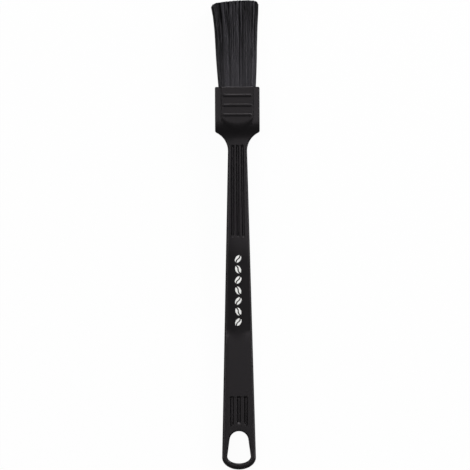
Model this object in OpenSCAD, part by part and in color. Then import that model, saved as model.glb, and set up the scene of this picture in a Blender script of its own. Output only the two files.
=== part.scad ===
// Long handled cleaning brush: one moulded handle with a hanging eye and a flat socket,
// and a bundle of fine bristles whose roots are set in resin in that socket.
// It lies on its back. Y runs from the hanging eye towards the bristles, and Z points up
// from the surface that it lies on. The origin is on that surface, below the eye's centre.

/* [Handle outline] */
// Length of the moulding, from its tail end to the mouth of the socket
handle_l = 171.6; // [165:0.2:190]
// Width across the tail, where its round end begins
tail_w = 15.2; // [14:0.1:18]
// Length of the round tail end
tail_round = 5.4; // [4.4:0.1:7]
// Width of the neck at its narrowest
neck_w = 8.6; // [8:0.1:11]
// Radius of the hollow shoulders between the neck and the socket
shoulder_r = 9.1; // [8:0.1:11]

/* [Handle section] */
// Thickness of the flat grip end
paddle_t = 4.8; // [4:0.1:6]
// Length of the flat grip end, from the tail
paddle_l = 57; // [50:0.5:70]
// Length of the bend where the grip leaves the flat end, on its slope up to the neck
bend_l = 6; // [4:0.5:12]
// Length of the bend where the slope ends, below the neck grooves
neck_bend_l = 9; // [6:0.5:20]
// Radius of the grip's crowned faces, across the handle
grip_crown_r = 21; // [16:1:40]
// Thickness of the neck next to the socket
neck_t = 6; // [5:0.1:7]
// Radius of the neck's crowned faces, across the handle
neck_crown_r = 40; // [30:1:60]
// Radius of the round edges of the grip and the neck
grip_edge_r = 1.1; // [0.6:0.1:1.4]

/* [Hanging eye] */
// Length of the eye
eye_l = 14.6; // [12:0.1:16]
// Width of the eye at its widest, near the tail
eye_w = 10.5; // [9.4:0.1:11]
// Radius of the eye's narrow end
eye_top_r = 4.26; // [3.6:0.02:4.6]
// Length of the eye's rounded wide end
eye_bottom_l = 3.1; // [2:0.1:4]
// Width of the rim between the eye and the tail end
eye_rim = 2.65; // [2:0.05:4]
// Radius of the eye's rounded edges
eye_edge_r = 0.7; // [0.3:0.1:1]

/* [Grip grooves] */
// Grooves side by side in each group
groove_count = 3; // [1:1:3]
// Depth of the grooves
groove_depth = 0.95; // [0.9:0.05:1.2]
// Radius of the grooves' rounded lips
groove_lip_r = 0.26; // [0.1:0.02:0.3]
// Length of the ramp at a groove's end
groove_ramp = 0.9; // [0.4:0.1:2]
// Length of the neck grooves
neck_groove_l = 41.6; // [20:0.2:46]
// Distance from the socket's mouth to the neck grooves
neck_groove_start = 25.8; // [25:0.2:30]
// Width of a neck groove
neck_groove_w = 1.1; // [0.8:0.05:1.3]
// Spacing of the neck grooves at their end near the socket
neck_groove_pitch = 2.12; // [1.8:0.02:2.4]
// Spacing of the neck grooves at their end near the grip
neck_groove_wide_pitch = 2.36; // [2:0.02:2.8]
// Distance from the tail end to the far end of the tail grooves
tail_groove_end = 33.2; // [26:0.2:45]
// Width of a tail groove
tail_groove_w = 1.45; // [1:0.05:1.8]
// Spacing of the tail grooves
tail_groove_pitch = 3.14; // [2.4:0.02:3.5]
// Width of the plain collar between the eye and the tail grooves
eye_collar = 3.2; // [2:0.1:5]

/* [Socket] */
// Width of the socket block
head_w = 20; // [19:0.1:24]
// Length of the socket block's straight sides
head_l = 19.6; // [17:0.1:24]
// Thickness of the socket block along its middle, without the pads
head_t = 9.2; // [8.8:0.1:9.5]
// Radius of the socket block's crowned faces, across the block
head_crown_r = 52; // [40:1:90]
// Radius of the socket block's edges
head_edge_r = 0.45; // [0.2:0.05:0.5]
// Radius of the corners beside the shoulders, seen from above
head_corner_r = 0.9; // [0.8:0.1:2]
// Radius of the corners beside the mouth, seen from above
mouth_corner_r = 0.6; // [0.55:0.05:1]
// Distance from the mouth to where the block begins to thin down to the neck
ogee_start = 15; // [12:0.1:16]
// Length over which it thins down
ogee_l = 9.5; // [8:0.1:12]

/* [Socket pads] */
// Thickness across the two flat pads
pad_t = 9.6; // [9.6:0.1:11]
// Width of a pad at its top
pad_w = 13.7; // [13.4:0.1:15]
// Length of a pad's flat top, from the mouth
pad_l = 15.4; // [15:0.1:17]
// Length of the pad's rounded nose
pad_nose_l = 6.8; // [5:0.1:9]
// Height of the pad's nose and flanks
pad_nose_h = 2.2; // [2.1:0.1:2.6]
// Width of the pad's flanks
pad_flank = 0.9; // [0.4:0.1:1]
// Beads across each pad
bead_count = 3; // [1:1:3]
// Length of a bead
bead_l = 13.4; // [10:0.1:13.4]
// Width of a bead
bead_w = 1.5; // [1:0.1:2]
// Height of a bead above its pad
bead_h = 0.45; // [0.2:0.05:0.6]
// Distance from the mouth to the first bead
bead_start = 3.9; // [2.5:0.1:5]
// Spacing of the beads
bead_pitch = 4.35; // [3:0.05:4.8]

/* [Bristles] */
// Width of the socket's pocket
pocket_w = 16.9; // [15:0.1:17]
// Thickness of the socket's pocket
pocket_t = 6; // [5:0.1:6.4]
// Depth of the socket's pocket
pocket_depth = 14; // [12:0.1:15]
// Depth of the resin in the bottom of the pocket
resin_depth = 4; // [2:0.1:6]
// Clearance all round between the bundle and the pocket
bundle_gap = 0.1; // [0.05:0.05:0.3]
// Free length of the longest bristles
bristle_l = 38.8; // [25:0.2:50]
// How far the tips splay on the left, beyond the pocket
splay_left = 2.4; // [0:0.1:4]
// How far the tips splay on the right, beyond the pocket
splay_right = 1.1; // [0:0.1:4]
// How far the left edge curls out at the very tips
curl_left = 1.5; // [0:0.1:2]
// How far the right edge curls out at the very tips
curl_right = 0.5; // [0:0.1:2]
// How far the tips splay on the front and the back
splay_face = 0.9; // [0:0.1:1.5]
// How much shorter the bristles are cut at the left edge
cut_left = 1.5; // [0:0.1:3]
// How much shorter the bristles are cut at the right edge
cut_right = 0.4; // [0:0.1:3]
// How much shorter still they are at the two corners of the bundle
cut_corner = 0.7; // [0:0.1:2]
// Locks of bristles around the bundle
lock_count = 44; // [24:1:48]
// How far the locks stand out of the bundle at the tips
lock_relief = 0.26; // [0.05:0.01:0.4]

/* [Hidden] */
black = "#232124";
bristle_black = "#2b2b2e";
resin_amber = "#b08a4a";

tail_y = -(eye_l / 2 + eye_rim);
mouth_y = tail_y + handle_l;
paddle_y = tail_y + paddle_l;
corner_y = mouth_y - head_l;
head_mid = pad_t / 2 + bead_h;

// Centre of the hollow shoulder: its arc touches the neck's side and the head's round corner
shoulder_x = neck_w / 2 + shoulder_r;
corner_x = head_w / 2 - head_corner_r;
corner_drop = sqrt(pow(shoulder_r + head_corner_r, 2) - pow(shoulder_x - corner_x, 2));
neck_y = corner_y - corner_drop;
shoulder_angle = atan2(corner_drop, corner_x - shoulder_x);

// How finely the handle's round stretches are divided
tail_steps = 14;
shoulder_steps = 12;
corner_steps = 4;
ogee_steps = 5;
edge_steps = 3;
crown_columns = 4;
bar_facets = 24;
slot_facets = 48;

function mix(a, b, t) = a + (b - a) * t;

// Goes from 0 to 1 along two arcs that meet halfway
function smooth_step(t) =
    t <= 0 ? 0 :
    t < 0.5 ? 2 * t * t :
    t < 1 ? 1 - 2 * pow(1 - t, 2) : 1;

// Changes along the handle, each from 0 to 1: the grip slopes up from the flat end to the level
// neck, with a bend at either end. Its faces become crowned in the first bend. Then the edges
// sharpen, and the neck thickens into the block
slope_end_y = mouth_y - neck_groove_start - neck_groove_l;
ogee_top_y = mouth_y - ogee_start;
function along(y, from, to) = (y - from) / (to - from);
function slope(y) =
    let (d = y - paddle_y, l = slope_end_y - paddle_y, rate = 1 / (l - (bend_l + neck_bend_l) / 2))
    d <= 0 ? 0 :
    d < bend_l ? rate * d * d / bend_l / 2 :
    d < l - neck_bend_l ? rate * (d - bend_l / 2) :
    d < l ? 1 - rate * pow(l - d, 2) / neck_bend_l / 2 : 1;
function crowning(y) = smooth_step(along(y, paddle_y, paddle_y + bend_l));
function sharpening(y) = smooth_step(along(y, neck_y, corner_y));
function ogee(y) = smooth_step(along(y, ogee_top_y - ogee_l, ogee_top_y));

// Height of the mid plane, half the thickness, and how the faces and edges are rounded
function mid_z(y) = mix(paddle_t / 2, head_mid, slope(y));
function half_t(y) = mix(mix(paddle_t, neck_t, slope(y)), head_t, ogee(y)) / 2;
function handle_crown_k(y) = crowning(y) * mix(1 / grip_crown_r, 1 / neck_crown_r, slope(y));
function crown_k(y) = mix(handle_crown_k(y), 1 / head_crown_r, ogee(y)) / 2;
function edge_r(y) = mix(grip_edge_r, head_edge_r, sharpening(y));

// Height of the handle's crowned face above its mid plane
function face_h(x, y) = half_t(y) - x * x * crown_k(y);

// Right half of the handle's outline from tail to mouth, as [x, y, normal x, normal y]
function unit(v) = v / norm(v);
function outline_point(x, y, n) = [x, y, n.x, n.y];
function tail_arc() = [
    for (i = [0 : tail_steps])
        let (a = 90 * i / tail_steps, n = unit([sin(a) / tail_w * 2, -cos(a) / tail_round]))
        outline_point(tail_w / 2 * sin(a), tail_y + tail_round * (1 - cos(a)), n)
];
side_start = tail_y + tail_round;
side_slope = (tail_w - neck_w) / 2 / (neck_y - side_start);
side_normal = unit([1, side_slope]);
function side_x(y) = tail_w / 2 - side_slope * (y - side_start);
function divided(from, to, n) = [for (i = [1 : n]) mix(from, to, i / n)];
function side_stations() = concat(
    divided(side_start, paddle_y, 4),
    divided(paddle_y, paddle_y + bend_l, 7),
    divided(paddle_y + bend_l, slope_end_y - neck_bend_l, 4),
    divided(slope_end_y - neck_bend_l, slope_end_y, 7),
    divided(slope_end_y, neck_y, 4)
);
function side_line() = [for (y = side_stations()) outline_point(side_x(y), y, side_normal)];
function shoulder_arc() = [
    for (a = divided(180, shoulder_angle, shoulder_steps))
        outline_point(
            shoulder_x + shoulder_r * cos(a),
            neck_y + shoulder_r * sin(a),
            [-cos(a), -sin(a)]
        )
];
function head_corner() = [
    for (a = divided(shoulder_angle - 180, 0, corner_steps))
        outline_point(
            corner_x + head_corner_r * cos(a),
            corner_y + head_corner_r * sin(a),
            [cos(a), sin(a)]
        )
];
function head_side() = [
    for (y = divided(corner_y, ogee_top_y, ogee_steps))
        outline_point(head_w / 2, y, [1, 0])
];
function mouth_corner() = [
    for (i = [0 : corner_steps])
        let (a = 90 * i / corner_steps)
        outline_point(
            head_w / 2 - mouth_corner_r + mouth_corner_r * cos(a),
            mouth_y - mouth_corner_r + mouth_corner_r * sin(a),
            [cos(a), sin(a)]
        )
];
function mouth_line() = [
    for (i = [1 : crown_columns])
        outline_point((head_w / 2 - mouth_corner_r) * (1 - i / crown_columns), mouth_y, [0, 1])
];
stations = concat(
    tail_arc(), side_line(), shoulder_arc(), head_corner(), head_side(), mouth_corner()
);

// Point of the outline moved inwards by d
function inset(o, d) = [o[0] - o[2] * d, o[1] - o[3] * d];

// Row of points across a face of the handle, from edge to edge
function face_row(o, side) =
    let (inner = inset(o, edge_r(o[1])))
    [
        for (i = [-crown_columns : crown_columns])
            let (x = inner.x * i / crown_columns)
            [x, inner.y, mid_z(inner.y) + side * face_h(x, inner.y)]
    ];

// Points down the round edge: from the upper face to the side, and on to the lower face
function edge_points(o, side) =
    let (r = edge_r(o[1]), inner = inset(o, r), h = face_h(inner.x, inner.y))
    [
        for (i = [0 : edge_steps])
            let (a = 90 * i / edge_steps, p = inset(o, r * (1 - sin(a))))
            [p.x, p.y, mid_z(inner.y) + side * (h - r * (1 - cos(a)))]
    ];
function edge_row(o) = concat(edge_points(o, 1), backwards(edge_points(o, -1)));
function backwards(list) = [for (i = [len(list) - 1 : -1 : 0]) list[i]];
function mirrored(row) = [for (p = row) [-p.x, p.y, p.z]];

// Triangles of a grid of points, without those that a shared point makes flat
function grid_faces(rows, first) =
    let (n = len(rows[0]))
    [
        for (i = [0 : len(rows) - 2])
            for (j = [0 : n - 2])
                let (p = rows[i][j], q = rows[i][j + 1], r = rows[i + 1][j + 1], s = rows[i + 1][j])
                let (a = first + i * n + j)
                each concat(
                    p == s || s == r ? [] : [[a, a + n, a + n + 1]],
                    p == q || q == r ? [] : [[a, a + n + 1, a + 1]]
                )
    ];
function grid_start(grids, k) =
    k == 0 ? 0 : grid_start(grids, k - 1) + len(grids[k - 1]) * len(grids[k - 1][0]);

// Solid inside grids of points that meet along their edges
module grid_solid(grids) {
    polyhedron(
        points = [for (grid = grids) for (row = grid) each row],
        faces = [for (k = [0 : len(grids) - 1]) each grid_faces(grids[k], grid_start(grids, k))],
        convexity = 8
    );
}

// Solid through closed rings, each anticlockwise seen from the last, with its ends closed
function sum(list, i = 0) = i == len(list) - 1 ? list[i] : list[i] + sum(list, i + 1);
function centre_row(ring) = let (c = sum(ring) / len(ring)) [for (p = ring) c];
module skin(rings) {
    rows = concat([centre_row(rings[0])], rings, [centre_row(rings[len(rings) - 1])]);
    grid_solid([[for (row = rows) concat(row, [row[0]])]]);
}

// Round bar of radius r from one point to another
module rod(from, to, r) {
    v = to - from;
    translate(from)
        rotate([0, acos(v.z / norm(v)), atan2(v.y, v.x)])
            cylinder(h = norm(v), r = r, $fn = bar_facets);
}

// Flat slot section with round ends, w wide and t thick
module slot_section(w, t) {
    square([w - t, t], center = true);
    for (side = [-1, 1])
        translate([side * (w - t) / 2, 0])
            circle(d = t, $fn = slot_facets);
}

// Radius of the round bar that cuts or fills a width w to a depth d
function chord_radius(w, d) = (w * w / 4 + d * d) / (2 * d);

// The handle's main body: two crowned faces and the round edge that joins them all round
module handle_body() {
    right_edge = [for (o = concat(stations, mouth_line())) edge_row(o)];
    left_edge = [for (row = backwards(right_edge)) mirrored(row)];
    grid_solid([
        [for (o = stations) face_row(o, 1)],
        [for (o = backwards(stations)) face_row(o, -1)],
        concat(right_edge, [for (i = [1 : len(left_edge) - 1]) left_edge[i]])
    ]);
}

// One level of the pads, t of the way down: straight sides from the mouth and a half elliptical
// nose at the neck. The topmost levels stand back from the mouth, as the block's edges do
pad_steps = 9;
pad_nose_steps = 24;
pad_turn_l = 2;
pad_lip = 0.33;
function pad_ring(t, z) =
    let (
        w = pad_w / 2 + pad_flank * t,
        l = pad_turn_l + pad_nose_l * t,
        turn_y = mouth_y - pad_l + pad_turn_l,
        lip_y = mouth_y - head_edge_r * max(0, 1 - t / pad_lip)
    )
    concat(
        [[w, lip_y, z], [-w, lip_y, z]],
        [
            for (i = [0 : pad_nose_steps])
                let (a = 180 + 180 * i / pad_nose_steps)
                [w * cos(a), turn_y + l * sin(a), z]
        ]
    );
function pad_levels(side) = [
    for (i = [0 : pad_steps])
        let (t = i / pad_steps)
        pad_ring(t, head_mid + side * (pad_t / 2 - pad_nose_h * t * t))
];
module pads() {
    skin(concat(pad_levels(-1), backwards(pad_levels(1))));
}

// Round beads across the pads, which a finger and thumb hold
module beads() {
    r = chord_radius(bead_w, bead_h);
    reach = (bead_l - bead_w) / 2;
    for (side = [-1, 1])
        for (i = [0 : bead_count - 1]) {
            y = mouth_y - bead_start - i * bead_pitch;
            z = head_mid + side * (pad_t / 2 + bead_h - r);
            rod([-reach, y, z], [reach, y, z], r);
            for (end = [-1, 1])
                translate([end * reach, y, z])
                    sphere(r = r, $fn = bar_facets);
        }
}

// Outline of the eye, grown all round by g
eye_top_y = eye_l / 2 - eye_top_r;
eye_bottom_y = -eye_l / 2 + eye_bottom_l;
eye_flare = asin((eye_w / 2 - eye_top_r) / (eye_top_y - eye_bottom_y));
eye_turn = atan(eye_bottom_l / (eye_w / 2) * tan(eye_flare));
eye_top_steps = 16;
eye_bottom_steps = 20;
eye_edge_steps = 4;
eye_over = 1;
function eye_ring(g, z) = concat(
    [
        for (i = [0 : eye_top_steps])
            let (a = mix(eye_flare, 180 - eye_flare, i / eye_top_steps))
            [(eye_top_r + g) * cos(a), eye_top_y + (eye_top_r + g) * sin(a), z]
    ],
    [
        for (i = [0 : eye_bottom_steps])
            let (a = mix(180 - eye_turn, 360 + eye_turn, i / eye_bottom_steps))
            [(eye_w / 2 + g) * cos(a), eye_bottom_y + (eye_bottom_l + g) * sin(a), z]
    ]
);

// The eye's opening, flared at both faces by its rounded edges
module eye() {
    rounding = [
        for (i = [0 : eye_edge_steps])
            let (a = 90 * i / eye_edge_steps)
            [eye_edge_r * (1 - sin(a)), eye_edge_r * (1 - cos(a))]
    ];
    skin(concat(
        [eye_ring(eye_edge_r, -eye_over)],
        [for (p = rounding) eye_ring(p[0], p[1])],
        [for (p = backwards(rounding)) eye_ring(p[0], paddle_t - p[1])],
        [eye_ring(eye_edge_r, paddle_t + eye_over)]
    ));
}

// Place of each groove in a group, counted from the middle one
function group_places() = [for (i = [0 : groove_count - 1]) i - (groove_count - 1) / 2];

// Section of a groove of width w: rounded lips, straight walls and a round bottom
lip_angles = [120, 150, 180];
bottom_steps = 8;
groove_over = 1;
function groove_lip(w) = [
    for (a = lip_angles)
        [w / 2 + groove_lip_r * (1 + cos(a)), groove_lip_r * (sin(a) - 1)]
];
function groove_bottom(w) = [
    for (i = [1 : bottom_steps - 1])
        let (a = -180 * i / bottom_steps)
        [w / 2 * cos(a), w / 2 - groove_depth + w / 2 * sin(a)]
];
function groove_side(w) =
    let (lip = groove_lip(w), outer = lip[0] + (lip[0] - lip[1]))
    concat([[outer.x, groove_over], [outer.x, -lip[0].y]], lip);
function groove_section(w) = concat(
    groove_side(w), groove_bottom(w), [for (p = backwards(groove_side(w))) [-p.x, p.y]]
);

// Groove from one place of a face to another. A ramp at either end leads its bottom up and out
// of the face, where its section is a share of its full depth, lifted off the face
end_share = 0.15;
end_lift = 0.17;
function surface_z(x, y, side) = mid_z(y) + side * face_h(x, y);
module groove(from, to, w, side) {
    ramp = groove_ramp / (to.y - from.y);
    lift = end_lift * groove_depth;
    stops = [[0, end_share, lift], [ramp, 1, 0], [1 - ramp, 1, 0], [1, end_share, lift]];
    rings = [
        for (stop = stops)
            let (at = mix(from, to, stop[0]), z = surface_z(at.x, at.y, side))
            [for (p = groove_section(w)) [at.x + p.x, at.y, z + side * (p.y * stop[1] + stop[2])]]
    ];
    skin(side > 0 ? rings : backwards(rings));
}

// Grooves along the neck, on both faces, spread towards the grip
module neck_grooves() {
    near_y = mouth_y - neck_groove_start;
    for (side = [-1, 1])
        for (i = group_places())
            groove(
                [i * neck_groove_wide_pitch, slope_end_y],
                [i * neck_groove_pitch, near_y],
                neck_groove_w, side
            );
}

// Grooves above the eye, on both faces, which end at the sloping collar round it
module tail_grooves() {
    far_y = tail_y + tail_groove_end;
    collar_r = eye_top_r + eye_collar;
    reach = groove_depth + groove_over;
    flare = groove_ramp / groove_depth * reach;
    for (side = [-1, 1])
        difference() {
            for (i = group_places())
                groove(
                    [i * tail_groove_pitch, eye_top_y],
                    [i * tail_groove_pitch, far_y],
                    tail_groove_w, side
                );
            translate([0, eye_top_y, surface_z(0, 0, side) - side * reach])
                mirror([0, 0, side < 0 ? 1 : 0])
                    cylinder(
                        h = 2 * reach,
                        r1 = collar_r + flare,
                        r2 = collar_r - flare,
                        $fn = slot_facets
                    );
        }
}

// A slot shaped block that fills the pocket from its bottom to a given height
pocket_over = 1;
module pocket_block(h) {
    translate([0, mouth_y - pocket_depth, head_mid])
        rotate([-90, 0, 0])
            linear_extrude(height = h)
                slot_section(pocket_w, pocket_t);
}

module handle() {
    color(black)
        difference() {
            union() {
                handle_body();
                pads();
                beads();
            }
            pocket_block(pocket_depth + pocket_over);
            eye();
            neck_grooves();
            tail_grooves();
        }
}

// Resin cast in the bottom of the pocket, which holds the roots
module resin() {
    color(resin_amber)
        pocket_block(resin_depth);
}

// Bundle of bristles: rings of locks that start at the resin and splay towards the tips
bundle_w = pocket_w - 2 * bundle_gap;
bundle_t = pocket_t - 2 * bundle_gap;
root_y = mouth_y - pocket_depth + resin_depth;
points_per_lock = 4;
bundle_rings = 9;

// Point and outward normal of the bundle's slot section, u of the way round it
function slot_end_point(x, r, b) = [x + r * sin(b), r * cos(b), sin(b), cos(b)];
function slot_point(u) =
    let (
        r = bundle_t / 2,
        a = bundle_w / 2 - r,
        arc = PI * r,
        s = u * (4 * a + 2 * arc)
    )
    s < a ? [s, r, 0, 1] :
    s < a + arc ? slot_end_point(a, r, (s - a) / arc * 180) :
    s < 3 * a + arc ? [2 * a + arc - s, -r, 0, -1] :
    s < 3 * a + 2 * arc ? slot_end_point(-a, r, (s - 3 * a) / arc * 180) :
    [s - 4 * a - 2 * arc, r, 0, 1];

// How far each lock stands out: an even ripple, with some locks fuller than others. Each ripple
// has its count round the bundle, its phase and its share
ripples = [[lock_count, 0, 0.5], [17, 40, 0.3], [7, 110, 0.2]];
function lock_wave(u) = sum([for (r = ripples) r[2] * cos(360 * r[0] * u + r[1])]);

// How much wider and thicker the bundle is at the height y above the mouth
splay_power = 0.8;
curl_power = 6;
function spread(y, splay, curl) =
    let (s = y / bristle_l)
    1 + (splay * pow(s, splay_power) + curl * pow(s, curl_power)) * 2 / bundle_w;
function side_scale(x, y) =
    x < 0 ? spread(y, splay_left, curl_left) : spread(y, splay_right, curl_right);
function face_scale(y) = 1 + splay_face * y / bristle_l * 2 / bundle_t;

// Free length of the bristles whose roots are at x, with the longest ones right of the middle
cut_crest = 0.4;
corner_power = 24;
function free_l(x) =
    let (v = 2 * x / bundle_w, from_crest = v - cut_crest)
    bristle_l
        - cut_corner * pow(abs(v), corner_power)
        - (from_crest < 0
            ? cut_left * pow(from_crest / (1 + cut_crest), 2)
            : cut_right * pow(from_crest / (1 - cut_crest), 2));

// Ring at the share s of the free length, grown, lowered and made jagged for the cut tips
uneven_angle = 137.5;
function bristle_ring(s, grow, lower, jagged) = [
    for (j = [0 : lock_count * points_per_lock - 1])
        let (
            u = j / (lock_count * points_per_lock),
            p = slot_point(u),
            y = s * free_l(p[0] * grow),
            out = lock_relief * s * lock_wave(u),
            x = p[0] * side_scale(p[0], y) + p[2] * out,
            z = p[1] * face_scale(y) + p[3] * out,
            tip_y = y - lower + jagged * sin(j * uneven_angle)
        )
        [x * grow, mouth_y + tip_y, head_mid + z * grow]
];
function root_ring(y) = [
    for (p = bristle_ring(0, 1, 0, 0)) [p.x, y, p.z]
];

// Rings across the cut tips: share of the width, how much lower, and unevenness of the cut
tips = [[1, 0.45, 0.12], [0.93, 0.1, 0.22], [0.7, 0, 0.28], [0.4, 0, 0.28]];
tip_centre = 0.1;

module bristles() {
    color(bristle_black)
        skin(concat(
            [root_ring(root_y)],
            [for (i = [0 : bundle_rings - 1]) bristle_ring(i / bundle_rings, 1, 0, 0)],
            [for (tip = tips) bristle_ring(1, tip[0], tip[1], tip[2])],
            [bristle_ring(1, tip_centre, 0, 0)]
        ));
}

handle();
bristles();
resin();
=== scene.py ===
# A long handled brush that cleans the burrs and the chute of a coffee grinder.
# One black plastic moulding with a hanging eye holds a flat bundle of fine bristles.
import math
import random

import bmesh
import bpy
from mathutils import Matrix, Vector, noise
from mathutils.bvhtree import BVHTree


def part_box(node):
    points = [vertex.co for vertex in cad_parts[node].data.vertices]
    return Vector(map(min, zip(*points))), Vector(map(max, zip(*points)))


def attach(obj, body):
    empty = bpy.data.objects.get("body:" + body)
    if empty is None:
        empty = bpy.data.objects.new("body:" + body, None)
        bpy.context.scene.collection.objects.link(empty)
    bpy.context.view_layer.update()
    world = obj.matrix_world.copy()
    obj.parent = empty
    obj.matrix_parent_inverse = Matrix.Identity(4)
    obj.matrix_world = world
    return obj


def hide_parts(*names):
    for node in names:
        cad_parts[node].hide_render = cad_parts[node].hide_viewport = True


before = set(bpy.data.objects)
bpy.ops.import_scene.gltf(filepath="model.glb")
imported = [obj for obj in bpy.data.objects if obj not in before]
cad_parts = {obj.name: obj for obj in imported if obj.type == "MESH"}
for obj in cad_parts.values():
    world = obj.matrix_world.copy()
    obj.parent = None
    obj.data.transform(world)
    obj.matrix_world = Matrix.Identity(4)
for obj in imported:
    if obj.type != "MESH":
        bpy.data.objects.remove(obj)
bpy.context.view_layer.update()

# Handle: one moulding in black polypropylene, with a hanging eye, finger grooves on both faces
# and a flat socket with raised pads and beads. Its skin is the fine satin of a blasted mould.
MM = 0.001
HANDLE_EDGE_ANGLE = math.radians(34)
HANDLE_WELD = 0.002 * MM
SATIN_GRAIN = 0.2 * MM
SATIN_RELIEF = 0.02 * MM


def srgb(hex_colour):
    """Linear colour of an sRGB hex value."""
    channels = [int(hex_colour[i : i + 2], 16) / 255 for i in (1, 3, 5)]
    linear = [c / 12.92 if c <= 0.04045 else ((c + 0.055) / 1.055) ** 2.4 for c in channels]
    return (*linear, 1)


def add(tree, kind, settings=None, **inputs):
    """Adds a node, sets its properties, and sets or links its inputs (I6 is input number 6)."""
    made = tree.nodes.new(kind)
    for name, value in (settings or {}).items():
        setattr(made, name, value)
    for name, value in inputs.items():
        socket = made.inputs[int(name[1:]) if name[1:].isdigit() else name.replace("_", " ")]
        if isinstance(value, bpy.types.NodeSocket):
            tree.links.new(value, socket)
        else:
            socket.default_value = value
    return made


def blank_material(name):
    """A new material with an empty node tree, and that tree."""
    material = bpy.data.materials.new(name)
    material.use_nodes = True
    material.node_tree.nodes.clear()
    return material, material.node_tree


def place(obj):
    """Links a finished piece, which rides on the brush and takes its finish from a slot."""
    bpy.context.scene.collection.objects.link(obj)
    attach(obj, "root")
    return obj


handle_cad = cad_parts["handle"]
bm = bmesh.new()
bm.from_mesh(handle_cad.data)
bmesh.ops.remove_doubles(bm, verts=bm.verts, dist=HANDLE_WELD)
bmesh.ops.dissolve_degenerate(bm, edges=bm.edges, dist=HANDLE_WELD)
handle_surface = BVHTree.FromBMesh(bm)
for face in bm.faces:
    face.smooth = True
for edge in bm.edges:
    edge.smooth = edge.calc_face_angle(0) < HANDLE_EDGE_ANGLE
mesh = bpy.data.meshes.new("handle_moulding")
bm.to_mesh(mesh)
bm.free()
handle = place(bpy.data.objects.new("handle_moulding", mesh))
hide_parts("handle")
weigh = handle.modifiers.new("flats_stay_flat", "WEIGHTED_NORMAL")
weigh.keep_sharp = True

# Moulded black polypropylene: a near black with a soft sheen. The blasted mould leaves a grain
# that is too fine to show, so it is drawn about four times as coarse, and breaks up the sheen.
plastic, tree = blank_material("moulded_black_polypropylene")
coords = add(tree, "ShaderNodeTexCoord")
grain = add(
    tree,
    "ShaderNodeTexNoise",
    Vector=coords.outputs["Object"],
    Scale=1 / SATIN_GRAIN,
    Detail=2.0,
)
relief = add(
    tree, "ShaderNodeBump", Height=grain.outputs["Fac"], Strength=0.06, Distance=SATIN_RELIEF
)
surface = add(
    tree,
    "ShaderNodeBsdfPrincipled",
    Base_Color=srgb("#100f10"),
    Roughness=0.31,
    IOR=1.49,
    Specular_IOR_Level=0.25,
    Specular_Tint=srgb("#fff6fd"),
    Normal=relief.outputs["Normal"],
)
add(tree, "ShaderNodeOutputMaterial", Surface=surface.outputs["BSDF"])
handle.data.materials.append(plastic)

# Grip motif: a row of plain coffee beans, pad printed along the grip in white ink. Each bean
# is two halves of a very thin film, with a bare, curved crease between them.
MOTIF_START_Y = 56.3 * MM
MOTIF_PITCH = 4.72 * MM
BEAN_COUNT = 7
BEAN_L = 3.7 * MM
BEAN_W = 2.5 * MM
BEAN_TILT = math.radians(28)
BEAN_SIDES = 40
BEAN_CUTS = 8
CREASE_W = 0.55 * MM
CREASE_SWING = 0.34 * MM
INK_T = 0.02 * MM
ABOVE_GRIP = 1.0


def bean_half(side):
    """Half of a flat bean, cut fine enough to follow the grip, with its crease in a soft S."""
    half = bmesh.new()
    bmesh.ops.create_circle(half, cap_ends=True, segments=BEAN_SIDES, radius=1)
    bmesh.ops.scale(half, vec=(BEAN_W / 2, BEAN_L / 2, 1), verts=half.verts)
    for axis, size in (((1, 0, 0), BEAN_W), ((0, 1, 0), BEAN_L)):
        for i in range(-BEAN_CUTS, BEAN_CUTS + 1):
            bmesh.ops.bisect_plane(
                half,
                geom=[*half.verts, *half.edges, *half.faces],
                plane_co=Vector(axis) * i * size / (2 * BEAN_CUTS + 2),
                plane_no=axis,
            )
    bmesh.ops.bisect_plane(
        half,
        geom=[*half.verts, *half.edges, *half.faces],
        plane_co=(side * CREASE_W / 2, 0, 0),
        plane_no=(side, 0, 0),
        clear_inner=True,
    )
    for vert in half.verts:
        inside = 1 - abs(vert.co.x) / (BEAN_W / 2)
        vert.co.x += CREASE_SWING * inside * math.sin(2 * math.pi * vert.co.y / BEAN_L)
    return half


motif = bmesh.new()
for i in range(BEAN_COUNT):
    tilt = Matrix.Rotation(BEAN_TILT * (1 if i % 2 else -1), 3, "Z")
    for side in (-1, 1):
        half = bean_half(side)
        bmesh.ops.rotate(half, cent=(0, 0, 0), matrix=tilt, verts=half.verts)
        bmesh.ops.translate(half, vec=(0, MOTIF_START_Y + i * MOTIF_PITCH, 0), verts=half.verts)
        printed = bpy.data.meshes.new("bean_half")
        half.to_mesh(printed)
        half.free()
        motif.from_mesh(printed)
for vert in motif.verts:
    above = Vector((vert.co.x, vert.co.y, ABOVE_GRIP))
    grip_point = handle_surface.ray_cast(above, Vector((0, 0, -1)))[0]
    vert.co.z = grip_point.z + INK_T
bmesh.ops.recalc_face_normals(motif, faces=motif.faces)
mesh = bpy.data.meshes.new("grip_motif")
motif.to_mesh(mesh)
motif.free()
beans = bpy.data.objects.new("grip_motif", mesh)
bpy.context.scene.collection.objects.link(beans)
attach(beans, "root")
ink_film = beans.modifiers.new("ink_film", "SOLIDIFY")
ink_film.thickness = INK_T
ink_film.offset = 1

# White pad printing ink: an opaque, slightly satin film
ink, tree = blank_material("white_printing_ink")
surface = add(
    tree, "ShaderNodeBsdfPrincipled", Base_Color=srgb("#f3f3f0"), Roughness=0.5, IOR=1.5
)
add(tree, "ShaderNodeOutputMaterial", Surface=surface.outputs["BSDF"])
beans.data.materials.append(ink)

# Resin: epoxy poured into the bottom of the socket, where it sets round the bristles' roots.
# It is hidden in the handle, whose socket it fills behind the bristles.

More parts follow.
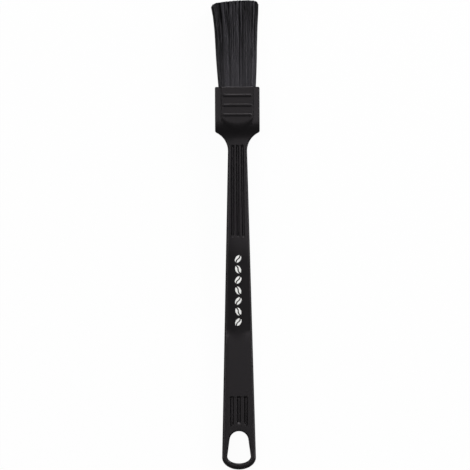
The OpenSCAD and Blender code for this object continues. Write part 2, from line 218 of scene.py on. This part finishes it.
# Cast epoxy: a glossy amber, as it cures in the socket
resin, tree = blank_material("cast_epoxy")
surface = add(
    tree, "ShaderNodeBsdfPrincipled", Base_Color=srgb("#b08a4a"), Roughness=0.2, IOR=1.55
)
add(tree, "ShaderNodeOutputMaterial", Surface=surface.outputs["BSDF"])
resin_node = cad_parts["resin"]
resin_node.data.materials.clear()
resin_node.data.materials.append(resin)

# Bristles: a flat bundle of nylon filaments, set straight in the socket and cut across in one
# stroke. They splay a little, lean and gather in locks, and in thinner wisps that weave past
# each other. They are drawn somewhat thicker and fewer than the real ones, which are too fine.
ROOT_W = 16.7 * MM
ROOT_T = 5.8 * MM
ROOT_DEPTH = 3 * MM
FREE_L = 38.8 * MM
FILAMENT_D = 0.17 * MM
FILAMENT_PITCH = 0.19 * MM
FILAMENT_STOPS = (0, 0.18, 0.36, 0.54, 0.72, 0.88, 1)
ROW_PITCH = FILAMENT_PITCH * math.sqrt(0.75)
SPLAY_LEFT, CURL_LEFT = 2.25 * MM, 1.4 * MM
SPLAY_RIGHT, CURL_RIGHT = 0.85 * MM, 0.25 * MM
SPLAY_POWER, CURL_POWER = 0.8, 6
SPLAY_FACE = 0.9 * MM
CUT_LEFT, CUT_RIGHT, CUT_CREST = 1.5 * MM, 0.4 * MM, 0.4
CORNER_CUT, CORNER_POWER = 1.2 * MM, 16
CUT_ROUGHNESS = 0.35 * MM
LOCK_SPACING, LOCK_LEAN, LOCK_GATHER = 1.05 * MM, 0.3 * MM, 0.4
WISP_SPACING, WISP_LEAN, WISP_GATHER = 0.42 * MM, 0.13 * MM, 0.3
GATHER_POWER = 1.5
WISP_WEAVE, WEAVE_POWER, WEAVE_ACROSS = 0.3 * MM, 0.6, 0.4
WEAVE_TURN, WEAVE_LEAST = 2.6 * math.pi, 0.6
STRAND_SWAY = 0.05 * MM
LOCK_SHADE, WISP_SHADE, FILAMENT_SHADE = 0.08, 0.58, 0.34
LOCK_LEAN_SEED, LOCK_SHADE_SEED = 97, 53
WISP_LEAN_SEED, WISP_SHADE_SEED, WEAVE_SEED = 89, 61, 71
BRISTLE_SEED = 11

mouth_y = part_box("handle")[1].y
socket_z = sum(v.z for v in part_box("resin")) / 2


def root_points():
    """Root of each filament on a close lattice that fills the round ended slot."""
    rows = int(ROOT_T / ROW_PITCH)
    end_r = ROOT_T / 2
    for i in range(rows + 1):
        z = -end_r + ROOT_T * i / rows
        half = ROOT_W / 2 - end_r + math.sqrt(max(0, end_r**2 - z**2))
        count = max(2, round(2 * half / FILAMENT_PITCH))
        for j in range(count):
            x = -half + 2 * half * (j + 0.5 * (i % 2)) / (count - 0.5)
            yield Vector((x, 0, z))


def cut_length(across):
    """Free length of a filament whose root is at this share of the half width."""
    crest_gap = CUT_CREST - across
    if crest_gap > 0:
        cut = CUT_LEFT * (crest_gap / (1 + CUT_CREST)) ** 2
    else:
        cut = CUT_RIGHT * (crest_gap / (1 - CUT_CREST)) ** 2
    return FREE_L - cut - CORNER_CUT * abs(across) ** CORNER_POWER


def filament(root, chance):
    """Points of one filament from inside the socket to its tip, and its painted lightness."""
    lock = noise.voronoi(root / LOCK_SPACING)[1][0]
    wisp = noise.voronoi(root / WISP_SPACING)[1][0]
    lean = noise.cell_vector(lock * LOCK_LEAN_SEED) * LOCK_LEAN
    lean += noise.cell_vector(wisp * WISP_LEAN_SEED) * WISP_LEAN
    apart = (root - lock * LOCK_SPACING) * LOCK_GATHER
    apart += (root - wisp * WISP_SPACING) * WISP_GATHER
    weave = noise.cell_vector(wisp * WEAVE_SEED)
    sway = Vector((chance.gauss(0, 1), 0, chance.gauss(0, 1))) * STRAND_SWAY
    length = cut_length(2 * root.x / ROOT_W) - CUT_ROUGHNESS * chance.random()
    splay, curl = (SPLAY_LEFT, CURL_LEFT) if root.x < 0 else (SPLAY_RIGHT, CURL_RIGHT)
    points = [Vector((root.x, mouth_y - ROOT_DEPTH, socket_z + root.z))]
    for s in FILAMENT_STOPS:
        reach = s * length / FREE_L
        spread = 1 + (splay * reach**SPLAY_POWER + curl * reach**CURL_POWER) * 2 / ROOT_W
        thicken = 1 + SPLAY_FACE * reach * 2 / ROOT_T
        off = (lean + sway) * s - apart * s**GATHER_POWER
        turn = 2 * math.pi * weave.x + WEAVE_TURN * (WEAVE_LEAST + weave.y) * s
        round_wisp = Vector((WEAVE_ACROSS * math.cos(turn), 0, math.sin(turn)))
        off += round_wisp * WISP_WEAVE * s**WEAVE_POWER
        points.append(
            Vector((
                root.x * spread + off.x,
                mouth_y + s * length,
                socket_z + root.z * thicken + off.z,
            ))
        )
    # Painted light and shade: a random lightness by lock, wisp and filament, for the light they
    # catch
    shade = LOCK_SHADE * noise.cell(lock * LOCK_SHADE_SEED)
    shade += WISP_SHADE * noise.cell(wisp * WISP_SHADE_SEED)
    shade += FILAMENT_SHADE * chance.random()
    return points, shade


chance = random.Random(BRISTLE_SEED)
strands = bpy.data.curves.new("bristle_strands", "CURVE")
strands.dimensions = "3D"
strands.bevel_depth = FILAMENT_D / 2
strands.bevel_resolution = 0
strands.use_fill_caps = True
shades = []
for root in root_points():
    points, shade = filament(root, chance)
    spline = strands.splines.new("POLY")
    spline.points.add(len(points) - 1)
    for point, place_at in zip(spline.points, points):
        point.co = (*place_at, 1)
        point.radius = 1
    shades.append(shade)
drawn = bpy.data.objects.new("bristle_strands", strands)
bpy.context.scene.collection.objects.link(drawn)
settled = drawn.evaluated_get(bpy.context.evaluated_depsgraph_get())
bristle_mesh = bpy.data.meshes.new_from_object(settled)
bpy.data.objects.remove(drawn)
per_filament = len(bristle_mesh.vertices) // len(shades)
tone = bristle_mesh.attributes.new("tone", "FLOAT", "POINT")
tone.data.foreach_set("value", [s for s in shades for _ in range(per_filament)])
bristles = place(bpy.data.objects.new("bristle_filaments", bristle_mesh))
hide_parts("bristles")

# Drawn black nylon: smooth filaments. Their fine long streaks are painted light and shade: each
# filament's lightness, random by lock, wisp and filament, stands in for how its sides catch the
# light. They are pale and alike at the socket, and spread further apart towards the tips, where
# the darker ones are painted shade between the locks; the specular level follows the same
# share.
# These are the shares of the paler colour at the socket and at the tips.
DARKEST_SHARES = (0.38, -0.1)
LIGHTEST_SHARES = (0.98, 1.28)

nylon, tree = blank_material("drawn_black_nylon")
lightness = add(tree, "ShaderNodeAttribute", {"attribute_name": "tone"})
coords = add(tree, "ShaderNodeTexCoord")
along = add(tree, "ShaderNodeSeparateXYZ", Vector=coords.outputs["Object"])
darkest, lightest = (
    add(
        tree,
        "ShaderNodeMapRange",
        Value=along.outputs["Y"],
        From_Min=mouth_y,
        From_Max=mouth_y + FREE_L,
        To_Min=at_root,
        To_Max=at_tip,
    )
    for at_root, at_tip in (DARKEST_SHARES, LIGHTEST_SHARES)
)
amount = add(
    tree,
    "ShaderNodeMapRange",
    Value=lightness.outputs["Fac"],
    To_Min=darkest.outputs[0],
    To_Max=lightest.outputs[0],
)
colour = add(
    tree,
    "ShaderNodeMix",
    {"data_type": "RGBA"},
    Factor=amount.outputs[0],
    I6=srgb("#030304"),
    I7=srgb("#504e54"),
)
sheen = add(tree, "ShaderNodeMapRange", Value=amount.outputs[0], To_Min=0.1, To_Max=0.4)
surface = add(
    tree,
    "ShaderNodeBsdfPrincipled",
    Base_Color=colour.outputs[2],
    Roughness=0.38,
    IOR=1.53,
    Specular_IOR_Level=sheen.outputs[0],
)
add(tree, "ShaderNodeOutputMaterial", Surface=surface.outputs["BSDF"])
bristles.data.materials.clear()
bristles.data.materials.append(nylon)

# Floor: a white paper sweep that the brush lies on. It is white to the camera, with a trace of
# the brush's soft shadow. It is pale grey to the brush, so that the round edges, which mirror
# it, stay dark.
FLOOR_SIZE = 6.0
FLOOR_SHADE = 0.04

bm = bmesh.new()
bmesh.ops.create_grid(bm, x_segments=1, y_segments=1, size=FLOOR_SIZE / 2)
mesh = bpy.data.meshes.new("floor")
bm.to_mesh(mesh)
bm.free()
floor = bpy.data.objects.new("floor", mesh)
bpy.context.scene.collection.objects.link(floor)
paper, tree = blank_material("white_paper_sweep")
rays = add(tree, "ShaderNodeLightPath")
matt = add(tree, "ShaderNodeBsdfDiffuse", Color=srgb("#f2f2f2"))
white = add(tree, "ShaderNodeEmission", Color=(1, 1, 1, 1), Strength=1.0)
seen = add(
    tree, "ShaderNodeMixShader", Fac=FLOOR_SHADE, I1=white.outputs[0], I2=matt.outputs[0]
)
dim = add(tree, "ShaderNodeBsdfDiffuse", Color=srgb("#b8b8b8"))
both = add(
    tree,
    "ShaderNodeMixShader",
    Fac=rays.outputs["Is Camera Ray"],
    I1=dim.outputs[0],
    I2=seen.outputs[0],
)
add(tree, "ShaderNodeOutputMaterial", Surface=both.outputs[0])
floor.data.materials.append(paper)

# Light: soft boxes round the brush, as in a product studio. Most of the light comes from beyond
# the bristles, so the long edges stay dark, and one above the camera lifts the level faces.
# The pale room is brightest near the floor, and white to the camera.
LAMP_SIZE = 0.5
LAMP_DISTANCE = 1.4
HIGH_LAMP_DISTANCE = 2.4
LIT_SPOT = Vector((0, 0.095, 0))
HORIZON_LEVEL = 0.9
ZENITH_LEVEL = 0.15
HORIZON_TOP = 0.5


def lamp(name, azimuth, elevation, distance, watts):
    """A square soft box that points at the middle of the brush, with its angles in degrees."""
    light = bpy.data.lights.new(name, "AREA")
    light.size = LAMP_SIZE
    light.energy = watts
    made = bpy.data.objects.new(name, light)
    turn, rise = math.radians(azimuth), math.radians(elevation)
    level = math.cos(rise)
    away = Vector((math.cos(turn) * level, math.sin(turn) * level, math.sin(rise)))
    made.location = LIT_SPOT + away * distance
    made.rotation_euler = (-away).to_track_quat("-Z", "Y").to_euler()
    made.visible_camera = False
    bpy.context.scene.collection.objects.link(made)


lamp("far_lamp", 90, 12, LAMP_DISTANCE, 6.8)
lamp("right_far_lamp", 45, 20, LAMP_DISTANCE, 11.7)
lamp("left_far_lamp", 135, 65, LAMP_DISTANCE, 2.8)
lamp("right_lamp", 0, 25, LAMP_DISTANCE, 4.0)
lamp("left_lamp", 180, 50, LAMP_DISTANCE, 3.1)
lamp("high_right_lamp", 10, 69, LAMP_DISTANCE, 1.65)
lamp("high_lamp", 90, 90, HIGH_LAMP_DISTANCE, 1.65)

room = bpy.data.worlds.new("pale_room")
room.use_nodes = True
room.node_tree.nodes.clear()
tree = room.node_tree
rays = add(tree, "ShaderNodeLightPath")
coords = add(tree, "ShaderNodeTexCoord")
height = add(tree, "ShaderNodeSeparateXYZ", Vector=coords.outputs["Generated"])
glow = add(
    tree,
    "ShaderNodeMapRange",
    Value=height.outputs["Z"],
    From_Max=HORIZON_TOP,
    To_Min=HORIZON_LEVEL,
    To_Max=ZENITH_LEVEL,
)
dim = add(tree, "ShaderNodeBackground", Color=(1, 1, 1, 1), Strength=glow.outputs[0])
white = add(tree, "ShaderNodeBackground", Color=(1, 1, 1, 1), Strength=1.0)
seen = add(
    tree,
    "ShaderNodeMixShader",
    Fac=rays.outputs["Is Camera Ray"],
    I1=dim.outputs[0],
    I2=white.outputs[0],
)
add(tree, "ShaderNodeOutputWorld", Surface=seen.outputs[0])
bpy.context.scene.world = room

# Camera: a long lens straight above the brush, whose length fills the square picture. It is
# turned by a trace, and the brush lies a little right of the picture's middle.
CAMERA_HEIGHT = 2.0
SENSOR_MM = 36
FAR_CLIP = 20
PICTURE_SIDE = 210.75 * MM
PICTURE_ROLL = math.radians(-0.29)
PICTURE_TOP_Y = 200.71 * MM
AXIS_SHIFT = -1.31 * MM

lens = bpy.data.cameras.new("long_lens")
lens.sensor_width = SENSOR_MM
lens.lens = SENSOR_MM * (CAMERA_HEIGHT - socket_z) / PICTURE_SIDE
lens.clip_end = FAR_CLIP
camera = bpy.data.objects.new("long_lens", lens)
camera.location = (AXIS_SHIFT, PICTURE_TOP_Y - PICTURE_SIDE / 2, CAMERA_HEIGHT)
camera.rotation_euler = (0, 0, PICTURE_ROLL)
bpy.context.scene.collection.objects.link(camera)
bpy.context.scene.camera = camera
bpy.context.scene.view_settings.view_transform = "Standard"
